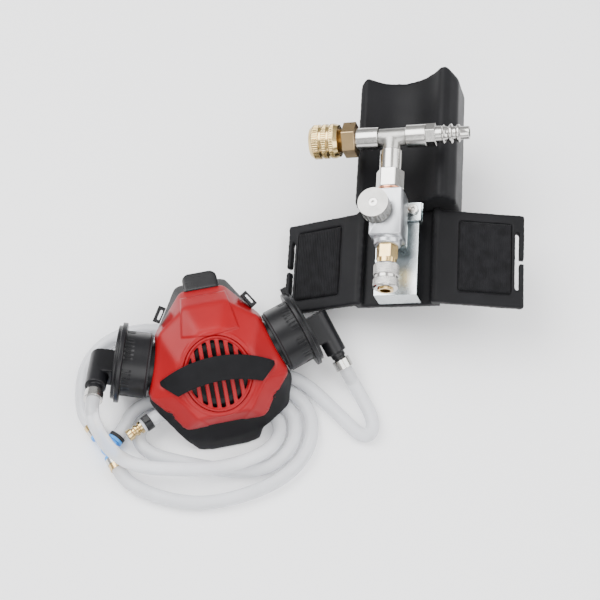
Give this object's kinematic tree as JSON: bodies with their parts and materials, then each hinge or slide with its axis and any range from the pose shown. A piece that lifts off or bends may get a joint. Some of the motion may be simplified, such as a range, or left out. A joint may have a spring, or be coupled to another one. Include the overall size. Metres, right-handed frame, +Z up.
{
  "type": "painters respirator mask",
  "caption": "Air-fed half mask with side canisters, translucent air hoses and a splitter, with the belt unit that carries its air manifold, control valve and couplers.",
  "frame": {"origin": "centre of the bottom of the bounding box of the mask and the belt unit, hoses left out, on the table they lie on", "axes": "+X is the mask's left to right as it is seen front up, +Y runs from its chin to its nose, +Z is up"},
  "size_m": [0.3686, 0.3086, 0.1294],
  "materials": {
    "black_rubber": "matte moulded rubber",
    "red_plastic": "satin moulded plastic",
    "black_plastic": "satin moulded plastic",
    "valve_rubber": "thin silicone",
    "filter_foam": "open foam",
    "hose": "translucent milky tube",
    "blue_plastic": "satin moulded plastic",
    "brass": "turned brass",
    "nickel": "nickel plate",
    "black_pad": "soft moulded foam skin",
    "ribbed_pad": "ribbed woven pad",
    "cushion_foam": "cloth-covered foam",
    "zinc": "zinc plate",
    "copper": "copper",
    "anodised": "satin anodised"
  },
  "bodies": {
    "mask": {"face_piece": "black_rubber", "face_shell": "red_plastic", "exhalation_grille": "red_plastic", "cover_band": "black_plastic", "nose_clip": "black_rubber", "strap_anchors": "black_plastic", "valve_seat": "black_plastic", "left_gasket": "black_rubber", "left_canister": "black_plastic", "left_baffle": "filter_foam", "left_cap": "black_plastic", "left_port": "black_plastic", "left_barb": "black_plastic", "left_ferrule": "nickel", "right_gasket": "black_rubber", "right_canister": "black_plastic", "right_baffle": "filter_foam", "right_cap": "black_plastic", "right_port": "black_plastic", "right_barb": "black_plastic", "right_ferrule": "nickel", "left_hose": "hose", "right_hose": "hose", "supply_hose": "hose", "hose_splitter": "blue_plastic", "splitter_ferrules": "nickel", "splitter_nuts": "brass", "splitter_ring": "black_plastic", "supply_nipple": "brass", "ear_clamp": "black_plastic"},
    "exhalation_flap": {"exhalation_flap": "valve_rubber"},
    "left_inhalation_flap": {"left_inhalation_flap": "valve_rubber"},
    "right_inhalation_flap": {"right_inhalation_flap": "valve_rubber"},
    "belt_unit": {"hip_plate": "black_pad", "left_rib_pad": "ribbed_pad", "right_rib_pad": "ribbed_pad", "upright_pad": "black_pad", "back_cushion": "cushion_foam", "bracket": "zinc", "bracket_tab": "zinc", "bracket_screw": "nickel", "tee_fitting": "nickel", "tee_sleeves": "nickel", "air_plug": "nickel", "coupler_body": "brass", "hex_nut": "nickel", "copper_washers": "copper", "valve_block": "anodised", "outlet_collar": "anodised", "outlet_body": "brass"},
    "knob": {"flow_knob": "anodised", "valve_spindle": "nickel", "knob_screw": "nickel"},
    "coupler_sleeve": {"coupler_sleeve": "brass"},
    "coupler_poppet": {"coupler_poppet": "brass"},
    "outlet_sleeve": {"outlet_sleeve": "nickel"},
    "outlet_poppet": {"outlet_poppet": "brass"}
  },
  "joints": [
    {"name": "belt_unit_lift", "type": "slide", "parent": "mask", "child": "belt_unit", "axis": [0.5997, 0.3498, 0.7197], "range_m": [0, 0.12]},
    {"name": "knob_turn", "type": "hinge", "parent": "belt_unit", "child": "knob", "pos_m": [0.05767, -0.01046, 0.11474], "axis": [-0.2898, -0.0764, 0.954], "range_deg": [0, 270]},
    {"name": "coupler_sleeve_slide", "type": "slide", "parent": "belt_unit", "child": "coupler_sleeve", "axis": [0.92, -0.2971, 0.2556], "range_m": [0, 0.003], "stiffness_N_per_m": 600},
    {"name": "coupler_poppet_slide", "type": "slide", "parent": "belt_unit", "child": "coupler_poppet", "axis": [0.92, -0.2971, 0.2556], "range_m": [0, 0.003], "stiffness_N_per_m": 150},
    {"name": "outlet_sleeve_slide", "type": "slide", "parent": "belt_unit", "child": "outlet_sleeve", "axis": [0.2639, 0.9518, 0.1564], "range_m": [0, 0.003], "stiffness_N_per_m": 600},
    {"name": "outlet_poppet_slide", "type": "slide", "parent": "belt_unit", "child": "outlet_poppet", "axis": [0.2639, 0.9518, 0.1564], "range_m": [0, 0.003], "stiffness_N_per_m": 150},
    {"name": "exhalation_flap_lift", "type": "slide", "parent": "mask", "child": "exhalation_flap", "axis": [0, -0.4695, 0.8829], "range_m": [0, 0.0015], "stiffness_N_per_m": 20},
    {"name": "left_inhalation_flap_lift", "type": "slide", "parent": "mask", "child": "left_inhalation_flap", "axis": [0.9511, -0.2728, -0.1451], "range_m": [0, 0.0015], "stiffness_N_per_m": 20},
    {"name": "right_inhalation_flap_lift", "type": "slide", "parent": "mask", "child": "right_inhalation_flap", "axis": [-0.9511, -0.2728, -0.1451], "range_m": [0, 0.0015], "stiffness_N_per_m": 20}
  ]
}
